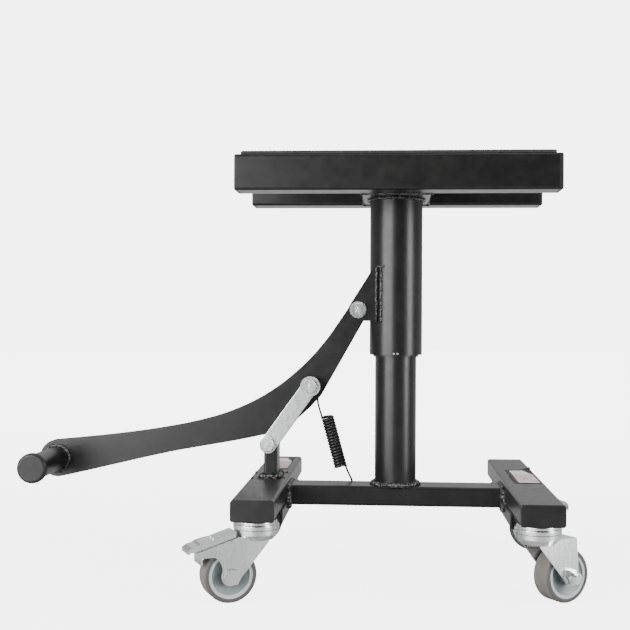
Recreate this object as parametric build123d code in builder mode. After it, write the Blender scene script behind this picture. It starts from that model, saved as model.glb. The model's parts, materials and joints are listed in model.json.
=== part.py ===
from build123d import *
import math
import os

os.makedirs("parts", exist_ok=True)

# ---------------------------------------------------------------- driving dimensions (mm)
# The stand is modelled raised, standing on Z = 0. X runs across the stand, Y from front to rear.
column_x = 87.5            # column axis, so that the origin is the middle of the footprint box

wall = 2.0                 # wall of every rectangular tube
corner = 3.0               # outer corner radius of the rectangular tubes

# base frame
rail_w = 40.0
rail_h = 20.0
rail_len = 318.0
rail_x = 129.0             # rail centre line from the column axis
rail_z = 76.0              # underside of the rails
rail_cap_t = 2.0
lower_h = 17.0
lower_len = 160.0
cross_top = 89.0
cross_h = 20.0
cross_w = 40.0

# telescopic column
column_od = 42.4
column_wall = 2.6
column_top = 286.0
sleeve_od = 54.0
sleeve_wall = 2.0
sleeve_z = 222.5
run_gap = 0.05             # radial running clearance of pins and guides

# platform
top_z = 382.5              # underside of the platform tubes
top_s = 35.0               # side of the square tubes
top_len = 306.0
top_y = 71.5               # centre line of front and rear tube from the column
top_cap_t = 4.0
rubber_t = 3.0
rubber_w = 32.0
rubber_len = 302.0

# toggle mechanism, in the X-Z plane from the column axis
pivot_a = (-38.4, 268.5)   # lever pivot on the platform bracket
pivot_b = (-86.9, 190.0)   # joint between lever and links
pivot_c = (-130.0, 130.0)  # lower pivot of the links on the post
lever_t = 8.0
lever_eye = 10.0
link_t = 4.0
link_w = 16.5
link_y = 15.6              # inner face of each link from the middle plane
post_w = 14.0
post_d = 30.0
post_top = 137.0
bracket_t = 6.0
bracket_y = 13.0           # inner face of each bracket plate
grip_r = 12.5
grip_len = 84.0
grip_c = (-354.5, 111.5)

# casters
caster_y = 126.0
wheel_r = 25.0
wheel_w = 20.0
trail = 27.0
fork_in = 11.6             # half of the fork's inner width
fork_t = 2.0
crown_z = 60.0
axle_r = 4.0

# corner name, side in X, side in Y, direction in which the wheel trails, side of the bolt head, braked
corners = (
    ("front_left", -1, -1, 205.0, -1, True),
    ("front_right", 1, -1, 33.0, -1, False),
    ("rear_left", -1, 1, 170.0, 1, False),
    ("rear_right", 1, 1, -8.0, 1, True),
)

ax, az = column_x + pivot_a[0], pivot_a[1]
bx, bz = column_x + pivot_b[0], pivot_b[1]
px, pz = column_x + pivot_c[0], pivot_c[1]
gx, gz = column_x + grip_c[0], grip_c[1]
sides = (("left", -1), ("right", 1))

# ================================================================ base frame
# long rails on the casters, with a short tube under each that carries the cross bar
for side, sx in sides:
    with BuildPart() as rail:
        with BuildSketch(Plane.XZ) as rail_profile:
            with Locations((column_x + sx * rail_x, rail_z + rail_h / 2)):
                RectangleRounded(rail_w, rail_h, corner)
                RectangleRounded(rail_w - 2 * wall, rail_h - 2 * wall, corner - wall, mode=Mode.SUBTRACT)
        extrude(amount=rail_len / 2, both=True)
        with BuildSketch(Plane.XY.offset(rail_z)) as stud_holes:
            with Locations((column_x + sx * rail_x, -caster_y), (column_x + sx * rail_x, caster_y)):
                Circle(5.1)
        extrude(amount=wall, mode=Mode.SUBTRACT)
    rail.part.label = f"rail_{side}"
    export_step(rail.part, f"parts/rail_{side}.step")

    with BuildPart() as lower:
        with BuildSketch(Plane.XZ) as lower_profile:
            with Locations((column_x + sx * rail_x, rail_z - lower_h / 2)):
                RectangleRounded(rail_w, lower_h, corner)
                RectangleRounded(rail_w - 2 * wall, lower_h - 2 * wall, corner - wall, mode=Mode.SUBTRACT)
        extrude(amount=lower_len / 2, both=True)
    lower.part.label = f"lower_tube_{side}"
    export_step(lower.part, f"parts/lower_tube_{side}.step")

# cross bar between the rails
with BuildPart() as crossbar:
    with BuildSketch(Plane.YZ.offset(column_x)) as crossbar_profile:
        with Locations((0, cross_top - cross_h / 2)):
            RectangleRounded(cross_w, cross_h, corner)
            RectangleRounded(cross_w - 2 * wall, cross_h - 2 * wall, corner - wall, mode=Mode.SUBTRACT)
    extrude(amount=rail_x - rail_w / 2, both=True)
crossbar.part.label = "crossbar"
export_step(crossbar.part, "parts/crossbar.step")

# moulded plugs in the four rail ends
with BuildPart() as rail_caps:
    for sx in (-1, 1):
        for sy in (-1, 1):
            with BuildSketch(Plane.XZ.offset(-sy * rail_len / 2)) as cap_face:
                with Locations((column_x + sx * rail_x, rail_z + rail_h / 2)):
                    RectangleRounded(rail_w, rail_h, corner)
            extrude(amount=-sy * rail_cap_t)
            with BuildSketch(Plane.XZ.offset(-sy * rail_len / 2)) as cap_plug:
                with Locations((column_x + sx * rail_x, rail_z + rail_h / 2)):
                    Rectangle(rail_w - 2 * wall - 2.4, rail_h - 2 * wall - 2.4)
                    Rectangle(rail_w - 2 * wall - 6, rail_h - 2 * wall - 6, mode=Mode.SUBTRACT)
            extrude(amount=sy * 12)
    fillet(rail_caps.edges().filter_by(Axis.X).group_by(Axis.Y)[0], radius=0.8)
    fillet(rail_caps.edges().filter_by(Axis.X).group_by(Axis.Y)[-1], radius=0.8)
rail_caps.part.label = "rail_end_caps"
export_step(rail_caps.part, "parts/rail_end_caps.step")

# inner column tube, welded on the cross bar
with BuildPart() as column:
    with BuildSketch(Plane.XY.offset(cross_top)) as column_profile:
        with Locations((column_x, 0)):
            Circle(column_od / 2)
            Circle(column_od / 2 - column_wall, mode=Mode.SUBTRACT)
    extrude(amount=column_top - cross_top)
    chamfer(column.edges().filter_by(GeomType.CIRCLE).group_by(Axis.Z)[-1], length=0.8)
column.part.label = "column_tube"
export_step(column.part, "parts/column_tube.step")

# guide ring at the top of the column tube, which slides inside the sleeve
with BuildPart() as guide:
    with BuildSketch(Plane.XY.offset(column_top - 24)) as guide_profile:
        with Locations((column_x, 0)):
            Circle(sleeve_od / 2 - sleeve_wall - run_gap)
            Circle(column_od / 2, mode=Mode.SUBTRACT)
    extrude(amount=22)
    chamfer(guide.edges().filter_by(GeomType.CIRCLE).sort_by(SortBy.RADIUS)[-2:], length=1.0)
guide.part.label = "column_guide_ring"
export_step(guide.part, "parts/column_guide_ring.step")

# post for the lower pivot of the links, on the left rail
with BuildPart() as post:
    with BuildSketch(Plane.XY.offset(rail_z + rail_h)) as post_profile:
        with Locations((px + 2.2, 0)):
            RectangleRounded(post_w, post_d, 2.5)
            RectangleRounded(post_w - 2 * wall, post_d - 2 * wall, 0.6, mode=Mode.SUBTRACT)
    extrude(amount=post_top - rail_z - rail_h)
    with BuildSketch(Plane.XZ) as post_bore:
        with Locations((px, pz)):
            Circle(axle_r)
    extrude(amount=post_d, both=True, mode=Mode.SUBTRACT)
post.part.label = "link_post"
export_step(post.part, "parts/link_post.step")

# pivot bolt through post and links, with its nut
with BuildPart() as lower_bolt:
    with BuildSketch(Plane.XZ.offset(-link_y - link_t - 9.5)) as lower_shank:
        with Locations((px, pz)):
            Circle(axle_r)
    extrude(amount=2 * (link_y + link_t) + 11.1)
    with BuildSketch(Plane.XZ.offset(link_y + link_t + 1.6)) as lower_head:
        with Locations((px, pz)):
            RegularPolygon(6.5, 6, major_radius=False)
    extrude(amount=5.7)
    chamfer(lower_bolt.edges().group_by(Axis.Y)[0], length=0.7)
lower_bolt.part.label = "lower_link_bolt"
export_step(lower_bolt.part, "parts/lower_link_bolt.step")

with BuildPart() as lower_nut:
    with BuildSketch(Plane.XZ.offset(-link_y - link_t - 7.6)) as lower_nut_profile:
        with Locations((px, pz)):
            RegularPolygon(6.5, 6, major_radius=False)
            Circle(axle_r, mode=Mode.SUBTRACT)
    extrude(amount=6.0)
lower_nut.part.label = "lower_link_nut"
export_step(lower_nut.part, "parts/lower_link_nut.step")

# ================================================================ platform
for name, sy in (("front", -1), ("rear", 1)):
    with BuildPart() as top_tube:
        with BuildSketch(Plane.YZ.offset(column_x)) as top_profile:
            with Locations((sy * top_y, top_z + top_s / 2)):
                RectangleRounded(top_s, top_s, corner)
                RectangleRounded(top_s - 2 * wall, top_s - 2 * wall, corner - wall, mode=Mode.SUBTRACT)
        extrude(amount=top_len / 2, both=True)
    top_tube.part.label = f"platform_tube_{name}"
    export_step(top_tube.part, f"parts/platform_tube_{name}.step")

    with BuildPart() as rubber:
        with BuildSketch(Plane.XY.offset(top_z + top_s)) as rubber_profile:
            with Locations((column_x, sy * top_y)):
                RectangleRounded(rubber_len, rubber_w, 3)
        extrude(amount=rubber_t)
        chamfer(rubber.edges().group_by(Axis.Z)[-1], length=0.8)
    rubber.part.label = f"rubber_strip_{name}"
    export_step(rubber.part, f"parts/rubber_strip_{name}.step")

# two tubes side by side join front and rear tube over the sleeve
for side, sx in sides:
    with BuildPart() as cross_tube:
        with BuildSketch(Plane.XZ) as cross_profile:
            with Locations((column_x + sx * top_s / 2, top_z + top_s / 2)):
                RectangleRounded(top_s, top_s, corner)
                RectangleRounded(top_s - 2 * wall, top_s - 2 * wall, corner - wall, mode=Mode.SUBTRACT)
        extrude(amount=top_y - top_s / 2, both=True)
    cross_tube.part.label = f"cross_tube_{side}"
    export_step(cross_tube.part, f"parts/cross_tube_{side}.step")

# moulded plugs in the four platform tube ends
with BuildPart() as top_caps:
    for sx in (-1, 1):
        for sy in (-1, 1):
            with BuildSketch(Plane.YZ.offset(column_x + sx * top_len / 2)) as top_cap_face:
                with Locations((sy * top_y, top_z + top_s / 2)):
                    RectangleRounded(top_s, top_s, corner)
            extrude(amount=sx * top_cap_t)
            with BuildSketch(Plane.YZ.offset(column_x + sx * top_len / 2)) as top_cap_plug:
                with Locations((sy * top_y, top_z + top_s / 2)):
                    Rectangle(top_s - 2 * wall - 2.4, top_s - 2 * wall - 2.4)
                    Rectangle(top_s - 2 * wall - 7, top_s - 2 * wall - 7, mode=Mode.SUBTRACT)
            extrude(amount=-sx * 12)
    fillet(top_caps.edges().filter_by(Axis.Y).group_by(Axis.X)[0], radius=1.5)
    fillet(top_caps.edges().filter_by(Axis.Y).group_by(Axis.X)[-1], radius=1.5)
top_caps.part.label = "platform_end_caps"
export_step(top_caps.part, "parts/platform_end_caps.step")

# sleeve that slides down over the column tube
with BuildPart() as sleeve:
    with BuildSketch(Plane.XY.offset(sleeve_z)) as sleeve_profile:
        with Locations((column_x, 0)):
            Circle(sleeve_od / 2)
            Circle(sleeve_od / 2 - sleeve_wall, mode=Mode.SUBTRACT)
    extrude(amount=top_z - sleeve_z)
sleeve.part.label = "sleeve_tube"
export_step(sleeve.part, "parts/sleeve_tube.step")

# guide bush in the mouth of the sleeve, with a small lip below it
with BuildPart() as bush:
    with BuildSketch(Plane.XY.offset(sleeve_z)) as bush_profile:
        with Locations((column_x, 0)):
            Circle(sleeve_od / 2 - sleeve_wall)
            Circle(column_od / 2 + run_gap, mode=Mode.SUBTRACT)
    extrude(amount=26)
    with BuildSketch(Plane.XY.offset(sleeve_z - 2)) as bush_lip:
        with Locations((column_x, 0)):
            Circle(column_od / 2 + 2.0)
            Circle(column_od / 2 + run_gap, mode=Mode.SUBTRACT)
    extrude(amount=2)
bush.part.label = "sleeve_bush"
export_step(bush.part, "parts/sleeve_bush.step")

# the two bracket plates, coped onto the sleeve
for name, sy in (("front", 1), ("rear", -1)):
    with BuildPart() as bracket:
        with BuildSketch(Plane.XZ.offset(sy * bracket_y)) as bracket_profile:
            with BuildLine() as bracket_outline:
                Polyline(
                    (ax - 8.0, az + 6.0),
                    (column_x - 23.5, 311.0),
                    (column_x - 10.0, 311.0),
                    (column_x - 10.0, 257.0),
                    (ax + 3.0, 257.0),
                    (ax - 8.0, az - 6.0),
                    (ax - 8.0, az + 6.0),
                )
            make_face()
            with Locations((ax, az)):
                Circle(lever_eye)
        extrude(amount=sy * bracket_t)
        with BuildSketch(Plane.XY.offset(240)) as bracket_cope:
            with Locations((column_x, 0)):
                Circle(sleeve_od / 2)
        extrude(amount=90, mode=Mode.SUBTRACT)
        with BuildSketch(Plane.XZ) as bracket_bore:
            with Locations((ax, az)):
                Circle(5.0)
        extrude(amount=30, both=True, mode=Mode.SUBTRACT)
    bracket.part.label = f"pivot_bracket_{name}"
    export_step(bracket.part, f"parts/pivot_bracket_{name}.step")

# M10 pivot bolt of the lever, its nut, and the two spacers beside the lever
bracket_out = bracket_y + bracket_t
with BuildPart() as pivot_bolt:
    with BuildSketch(Plane.XZ.offset(-bracket_out - 10.0)) as pivot_shank:
        with Locations((ax, az)):
            Circle(5.0)
    extrude(amount=2 * bracket_out + 10.0)
    with BuildSketch(Plane.XZ.offset(bracket_out)) as pivot_flange:
        with Locations((ax, az)):
            Circle(8.9)
    extrude(amount=1.8, taper=12)
    with BuildSketch(Plane.XZ.offset(bracket_out)) as pivot_head:
        with Locations((ax, az)):
            RegularPolygon(6.9, 6, major_radius=False)
    extrude(amount=6.4)
    chamfer(pivot_bolt.edges().group_by(Axis.Y)[0], length=0.8)
pivot_bolt.part.label = "lever_pivot_bolt"
export_step(pivot_bolt.part, "parts/lever_pivot_bolt.step")

with BuildPart() as pivot_nut:
    with BuildSketch(Plane.XZ.offset(-bracket_out - 8.0)) as pivot_nut_profile:
        with Locations((ax, az)):
            RegularPolygon(8.0, 6, major_radius=False)
            Circle(5.0, mode=Mode.SUBTRACT)
    extrude(amount=8.0)
pivot_nut.part.label = "lever_pivot_nut"
export_step(pivot_nut.part, "parts/lever_pivot_nut.step")

with BuildPart() as pivot_spacers:
    for sy in (-1, 1):
        with BuildSketch(Plane.XZ.offset(sy * (lever_t / 2 + 0.3))) as pivot_spacer_profile:
            with Locations((ax, az)):
                Circle(7.5)
                Circle(5.0, mode=Mode.SUBTRACT)
        extrude(amount=sy * (bracket_y - lever_t / 2 - 0.3))
pivot_spacers.part.label = "lever_pivot_spacers"
export_step(pivot_spacers.part, "parts/lever_pivot_spacers.step")

# ================================================================ lever
# flat plate: straight from the pivot to the heel, then a long curved arm that widens at its end
with BuildPart() as lever:
    with BuildSketch(Plane.XZ) as lever_profile:
        with BuildLine() as lever_outline:
            top_edge = Spline(
                (column_x - 357.0, 130.8),
                (column_x - 310.0, 135.6),
                (column_x - 225.0, 148.2),
                (column_x - 182.0, 159.0),
                (column_x - 139.0, 178.0),
                (column_x - 97.0, 209.5),
                (column_x - 65.5, 246.0),
            )
            Line(top_edge @ 1, (ax - 8.8, az + 4.6))
            Line((ax - 8.8, az + 4.6), (ax + 9.0, az - 4.4))
            under_edge = Line((ax + 9.0, az - 4.4), (column_x - 77.0, 179.5))
            heel = Polyline(
                under_edge @ 1,
                (column_x - 88.0, 167.5),
                (column_x - 101.0, 155.5),
                (column_x - 112.0, 146.5),
                (column_x - 122.0, 140.5),
                (column_x - 138.0, 138.2),
            )
            low_edge = Spline(
                heel @ 1,
                (column_x - 182.0, 129.2),
                (column_x - 224.0, 121.6),
                (column_x - 288.0, 107.0),
                (column_x - 350.0, 92.5),
            )
            ThreePointArc(low_edge @ 1, (column_x - 372.6, 110.6), top_edge @ 0)
        make_face()
        with Locations((ax, az)):
            Circle(lever_eye)
            Circle(5.0 + run_gap, mode=Mode.SUBTRACT)
    extrude(amount=lever_t / 2, both=True)
lever.part.label = "lever_plate"
export_step(lever.part, "parts/lever_plate.step")

# foot peg: a tube welded on the end of the lever, with a push-in cap
with BuildPart() as grip:
    with BuildSketch(Plane.XZ.offset(lever_t / 2)) as grip_profile:
        with Locations((gx, gz)):
            Circle(grip_r)
            Circle(grip_r - wall, mode=Mode.SUBTRACT)
    extrude(amount=grip_len - 6)
grip.part.label = "foot_peg_tube"
export_step(grip.part, "parts/foot_peg_tube.step")

with BuildPart() as grip_cap:
    with BuildSketch(Plane.XZ.offset(lever_t / 2 + grip_len - 6)) as grip_cap_profile:
        with Locations((gx, gz)):
            Circle(grip_r + 2.3)
    extrude(amount=6)
    fillet(grip_cap.edges().group_by(Axis.Y)[0], radius=2.8)
    with BuildSketch(Plane.XZ.offset(lever_t / 2 + grip_len - 18)) as grip_plug:
        with Locations((gx, gz)):
            Circle(grip_r - wall - 0.1)
    extrude(amount=12)
grip_cap.part.label = "foot_peg_cap"
export_step(grip_cap.part, "parts/foot_peg_cap.step")

# ================================================================ links
link_len = math.hypot(bx - px, bz - pz)
link_turn = math.degrees(math.atan2(bz - pz, bx - px))
for name, sy in (("front", 1), ("rear", -1)):
    with BuildPart() as link:
        with BuildSketch(Plane.XZ.offset(sy * link_y)) as link_profile:
            with Locations(((bx + px) / 2, (bz + pz) / 2)):
                SlotCenterToCenter(link_len, link_w, rotation=link_turn)
            with Locations((px, pz)):
                Circle(axle_r + run_gap, mode=Mode.SUBTRACT)
            with Locations((bx, bz)):
                Circle(axle_r, mode=Mode.SUBTRACT)
        extrude(amount=sy * link_t)
        fillet(link.edges().filter_by(GeomType.LINE).filter_by(Axis.Y, reverse=True), radius=0.5)
    link.part.label = f"link_{name}"
    export_step(link.part, f"parts/link_{name}.step")

# bolt ends at the joint with the lever: they stop short of the lever plate
with BuildPart() as stubs:
    for sy in (-1, 1):
        with BuildSketch(Plane.XZ.offset(sy * (lever_t / 2 + 0.6))) as stub_shank:
            with Locations((bx, bz)):
                Circle(axle_r)
        extrude(amount=sy * (link_y + link_t + 2.0 - lever_t / 2 - 0.6))
        with BuildSketch(Plane.XZ.offset(sy * (link_y + link_t + 1.6))) as stub_head:
            with Locations((bx, bz)):
                RegularPolygon(6.5, 6, major_radius=False)
        extrude(amount=sy * 5.7)
    chamfer(stubs.edges().group_by(Axis.Y)[0], length=0.7)
    chamfer(stubs.edges().group_by(Axis.Y)[-1], length=0.7)
stubs.part.label = "upper_link_bolts"
export_step(stubs.part, "parts/upper_link_bolts.step")

with BuildPart() as washers:
    for sy in (-1, 1):
        with BuildSketch(Plane.XZ.offset(sy * (link_y + link_t))) as washer_profile:
            with Locations((bx, bz)):
                Circle(10.2)
                Circle(axle_r, mode=Mode.SUBTRACT)
            with Locations((px, pz)):
                Circle(8.6)
                Circle(axle_r + run_gap, mode=Mode.SUBTRACT)
        extrude(amount=sy * 1.6)
washers.part.label = "link_washers"
export_step(washers.part, "parts/link_washers.step")

with BuildPart() as link_spacers:
    for sy in (-1, 1):
        with BuildSketch(Plane.XZ.offset(sy * (lever_t / 2 + 0.6))) as link_spacer_profile:
            with Locations((bx, bz)):
                Circle(6.5)
                Circle(axle_r, mode=Mode.SUBTRACT)
        extrude(amount=sy * (link_y - lever_t / 2 - 0.6))
link_spacers.part.label = "link_spacers"
export_step(link_spacers.part, "parts/link_spacers.step")

# ================================================================ return spring
# close-wound tension spring from the spacer at the lever joint to the rear edge of the cross bar;
# its coil is a plain cylinder here, with straight wire ends
spring_top = Vector(column_x - 71.5, 11.6, 158.0)
spring_end = Vector(column_x - 55.5, 16.5, 105.0)
hook_top = Vector(column_x - 80.0, 10.2, 181.5)
hook_end = Vector(column_x - 46.0, 21.4, 90.0)
spring_dir = (spring_top - spring_end).normalized()
with BuildPart() as spring:
    with BuildSketch(Plane(origin=spring_end, z_dir=spring_dir)) as coil_profile:
        Circle(6.6)
        Circle(4.4, mode=Mode.SUBTRACT)
    extrude(amount=(spring_top - spring_end).length)
    with BuildSketch(Plane(origin=spring_end, z_dir=spring_dir)) as coil_ends:
        Circle(5.5)
    extrude(amount=2.2)
    with BuildSketch(Plane(origin=spring_top, z_dir=spring_dir)) as coil_top_end:
        Circle(5.5)
    extrude(amount=-2.2)
    with BuildSketch(Plane(origin=spring_top - spring_dir, z_dir=(hook_top - spring_top))) as wire_top:
        Circle(1.0)
    extrude(amount=(hook_top - spring_top).length)
    with BuildSketch(Plane(origin=spring_end + spring_dir, z_dir=(hook_end - spring_end))) as wire_end:
        Circle(1.0)
    extrude(amount=(hook_end - spring_end).length)
spring.part.label = "return_spring"
export_step(spring.part, "parts/return_spring.step")

# ================================================================ casters
# studs and lock nuts inside the rails, and the spacer rings under them
with BuildPart() as studs:
    for name, sx, sy, turn, bolt_side, braked in corners:
        with BuildSketch(Plane.XY.offset(rail_z - 2.5)) as stud_shank:
            with Locations((column_x + sx * rail_x, sy * caster_y)):
                Circle(5.0)
        extrude(amount=rail_h - wall)
        with BuildSketch(Plane.XY.offset(rail_z + wall)) as stud_nut:
            with Locations((column_x + sx * rail_x, sy * caster_y)):
                RegularPolygon(8.0, 6, major_radius=False)
        extrude(amount=8)
studs.part.label = "caster_studs"
export_step(studs.part, "parts/caster_studs.step")

with BuildPart() as rings:
    for name, sx, sy, turn, bolt_side, braked in corners:
        with BuildSketch(Plane.XY.offset(rail_z - 2.5)) as ring_profile:
            with Locations((column_x + sx * rail_x, sy * caster_y)):
                Circle(16)
                Circle(5.1, mode=Mode.SUBTRACT)
        extrude(amount=2.5)
rings.part.label = "caster_spacer_rings"
export_step(rings.part, "parts/caster_spacer_rings.step")

for name, sx, sy, turn, bolt_side, braked in corners:
    cx = column_x + sx * rail_x
    cy = sy * caster_y
    run = Vector(math.cos(math.radians(turn)), math.sin(math.radians(turn)), 0)
    across = Vector(run.Y, -run.X, 0)
    side_plane = Plane(origin=(cx, cy, 0), x_dir=run, z_dir=across)

    # fixed upper race with the king pin
    with BuildPart() as head:
        with BuildSketch(Plane.XY.offset(crown_z + 6.0)) as head_profile:
            with Locations((cx, cy)):
                Circle(21.3)
        extrude(amount=4.4)
        fillet(head.edges().group_by(Axis.Z)[-1], radius=1.2)
        with BuildSketch(Plane.XY.offset(crown_z + 10.4)) as head_top:
            with Locations((cx, cy)):
                Circle(19.6)
        extrude(amount=rail_z - 2.5 - crown_z - 10.4)
        fillet(head.edges().group_by(Axis.Z)[-1], radius=1.4)
        with BuildSketch(Plane.XY.offset(crown_z - 5.0)) as king_pin:
            with Locations((cx, cy)):
                Circle(5.0)
        extrude(amount=11.0)
        with BuildSketch(Plane.XY.offset(crown_z - 5.0)) as king_pin_head:
            with Locations((cx, cy)):
                Circle(7.5)
        extrude(amount=2.5)
    head.part.label = f"caster_race_{name}"
    export_step(head.part, f"parts/caster_race_{name}.step")

    # swivelling fork: pressed legs that reach back to the axle, under a cupped crown
    with BuildPart() as fork:
        with BuildSketch(side_plane) as fork_profile:
            with BuildLine() as fork_outline:
                if braked:
                    # the legs run on as two arms that the brake pedal lies between
                    Polyline(
                        (43.1, 43.3),
                        (60.5, 43.3),
                        (62.5, 46.0),
                        (60.5, 48.2),
                        (21.0, crown_z),
                        (-8.0, crown_z),
                        (-8.0, 54.0),
                        (21.6, 19.9),
                        (36.3, 28.6),
                    )
                    ThreePointArc((36.3, 28.6), (37.6, 37.6), (43.1, 43.3))
                else:
                    Polyline(
                        (34.3, crown_z),
                        (-8.0, crown_z),
                        (-8.0, 54.0),
                        (21.6, 19.9),
                        (36.4, 28.6),
                        (34.3, crown_z),
                    )
            make_face()
            with Locations((trail + 1.2, wheel_r + 0.6)):
                Circle(8.9)
        extrude(amount=fork_in + fork_t, both=True)
        # the front part of each leg is bent in a little
        for side in (-1, 1):
            with BuildSketch(Plane(origin=(cx, cy, 8.0), x_dir=run, z_dir=(0, 0, 1))) as bend:
                with BuildLine() as bend_outline:
                    Polyline(
                        (13.0, -side * (fork_in + fork_t)),
                        (-12.0, -side * (fork_in + fork_t - 1.1)),
                        (-12.0, -side * (fork_in + fork_t + 2.0)),
                        (13.0, -side * (fork_in + fork_t + 2.0)),
                        (13.0, -side * (fork_in + fork_t)),
                    )
                make_face()
            extrude(amount=50.0, mode=Mode.SUBTRACT)
        with BuildSketch(side_plane) as fork_channel:
            with Locations((20.0, 27.0)):
                Rectangle(100.0, 2 * (crown_z - fork_t - 27.0))
            if braked:
                with Locations((51.0, 50.0)):
                    Rectangle(60.0, 40.0)
        extrude(amount=fork_in, both=True, mode=Mode.SUBTRACT)
        with BuildSketch(Plane(origin=(cx, cy, 0), x_dir=run, z_dir=across)) as crown_profile:
            with BuildLine() as crown_outline:
                Polyline(
                    (4.0, crown_z - fork_t),
                    (12.2, crown_z - fork_t),
                    (12.2, crown_z - fork_t - 2.2),
                    (15.6, crown_z - fork_t - 2.2),
                    (20.8, 61.2),
                    (20.8, 65.4),
                    (4.0, 65.4),
                    (4.0, crown_z - fork_t),
                )
            make_face()
        revolve(axis=Axis((cx, cy, 0), (0, 0, 1)))
        with BuildSketch(Plane.XY.offset(crown_z - fork_t - 1.0)) as king_bore:
            with Locations((cx, cy)):
                Circle(5.0 + run_gap)
        extrude(amount=10, mode=Mode.SUBTRACT)
        with BuildSketch(side_plane) as axle_bore:
            with Locations((trail, wheel_r)):
                Circle(axle_r)
            if braked:
                with Locations((26.0, 54.5)):
                    Circle(2.0)
        extrude(amount=20, both=True, mode=Mode.SUBTRACT)
    fork.part.label = f"caster_fork_{name}"
    export_step(fork.part, f"parts/caster_fork_{name}.step")

    # axle bolt with its nut run on
    leg = fork_in + fork_t
    with BuildPart() as axle:
        with BuildSketch(side_plane) as axle_shank:
            with Locations((trail, wheel_r)):
                Circle(axle_r)
        extrude(amount=leg, both=True)
        with BuildSketch(side_plane.offset(bolt_side * leg)) as axle_head:
            with Locations((trail, wheel_r)):
                RegularPolygon(6.5, 6, major_radius=False)
        extrude(amount=bolt_side * 4.5)
        with BuildSketch(side_plane.offset(-bolt_side * leg)) as axle_nut:
            with Locations((trail, wheel_r)):
                RegularPolygon(6.3, 6, major_radius=False)
        extrude(amount=-bolt_side * 5.4)
        with BuildSketch(side_plane.offset(-bolt_side * (leg + 5.4))) as axle_collar:
            with Locations((trail, wheel_r)):
                Circle(5.6)
        extrude(amount=-bolt_side * 3.0)
        with BuildSketch(side_plane.offset(-bolt_side * (leg + 8.4))) as axle_end:
            with Locations((trail, wheel_r)):
                Circle(axle_r)
        extrude(amount=-bolt_side * 1.6)
    axle.part.label = f"caster_axle_{name}"
    export_step(axle.part, f"parts/caster_axle_{name}.step")

    # wheel: grey tread on a moulded hub
    with BuildPart() as tyre:
        with BuildSketch(side_plane) as tyre_profile:
            with Locations((trail, wheel_r)):
                Circle(wheel_r)
                Circle(wheel_r - 4.0, mode=Mode.SUBTRACT)
        extrude(amount=wheel_w / 2, both=True)
        fillet(tyre.edges().filter_by(GeomType.CIRCLE).sort_by(SortBy.RADIUS)[-2:], radius=2.5)
    tyre.part.label = f"tyre_{name}"
    export_step(tyre.part, f"parts/tyre_{name}.step")

    with BuildPart() as hub:
        with BuildSketch(Plane(origin=(cx, cy, 0), x_dir=run, z_dir=(0, 0, 1)).offset(wheel_r)) as hub_profile:
            with BuildLine() as hub_outline:
                Polyline(
                    (trail + axle_r + run_gap, fork_in - 0.3),
                    (trail + 6.5, fork_in - 0.3),
                    (trail + 6.9, 5.0),
                    (trail + 17.6, 8.2),
                    (trail + 18.2, 9.4),
                    (trail + wheel_r - 4.0, 9.4),
                    (trail + wheel_r - 4.0, -9.4),
                    (trail + 18.2, -9.4),
                    (trail + 17.6, -8.2),
                    (trail + 6.9, -5.0),
                    (trail + 6.5, 0.3 - fork_in),
                    (trail + axle_r + run_gap, 0.3 - fork_in),
                    (trail + axle_r + run_gap, fork_in - 0.3),
                )
            make_face()
        revolve(axis=Axis((cx + trail * run.X, cy + trail * run.Y, wheel_r), tuple(across)))
    hub.part.label = f"wheel_hub_{name}"
    export_step(hub.part, f"parts/wheel_hub_{name}.step")

    if braked:
        # brake pedal: a pressed cover between the arms, with a foot that bears on the tread
        with BuildPart() as pedal:
            with BuildSketch(side_plane) as pedal_plate:
                with BuildLine() as pedal_outline:
                    Polyline(
                        (22.5, 62.6),
                        (22.5, 65.0),
                        (33.0, 62.0),
                        (43.0, 58.6),
                        (47.0, 58.4),
                        (56.0, 56.2),
                        (58.0, 54.6),
                        (64.0, 53.0),
                        (67.4, 50.4),
                        (67.8, 47.2),
                        (65.8, 46.8),
                        (65.0, 49.4),
                        (62.6, 50.8),
                        (56.0, 52.6),
                        (56.0, 36.5),
                        (54.0, 36.5),
                        (54.0, 53.4),
                        (43.0, 56.2),
                        (33.0, 59.6),
                        (22.5, 62.6),
                    )
                make_face()
            extrude(amount=11.2, both=True)
            for side in (-1, 1):
                with BuildSketch(side_plane.offset(side * 9.8)) as pedal_cheek:
                    with BuildLine() as cheek_outline:
                        Polyline(
                            (22.5, 64.0),
                            (33.0, 61.0),
                            (43.0, 57.6),
                            (56.0, 53.6),
                            (64.5, 50.8),
                            (64.5, 48.6),
                            (56.0, 48.6),
                            (34.0, 54.0),
                            (30.0, 51.6),
                            (23.5, 51.6),
                            (22.5, 64.0),
                        )
                    make_face()
                    with Locations((26.0, 54.5)):
                        Circle(2.0 + run_gap, mode=Mode.SUBTRACT)
                extrude(amount=side * 1.4)
        pedal.part.label = f"brake_pedal_{name}"
        export_step(pedal.part, f"parts/brake_pedal_{name}.step")

        with BuildPart() as pedal_pin:
            with BuildSketch(side_plane) as pedal_pin_profile:
                with Locations((26.0, 54.5)):
                    Circle(2.0)
            extrude(amount=leg + 0.6, both=True)
            for side in (-1, 1):
                with BuildSketch(side_plane.offset(side * leg)) as pedal_pin_head:
                    with Locations((26.0, 54.5)):
                        Circle(3.2)
                extrude(amount=side * 0.9)
        pedal_pin.part.label = f"brake_pin_{name}"
        export_step(pedal_pin.part, f"parts/brake_pin_{name}.step")
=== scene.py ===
"""Looks of the lift stand: finishes for its tubes, castings and wheels, and the spring, welds and small details."""

import json
import math
import random

import bmesh
import bpy
from mathutils import Matrix, Vector


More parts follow.
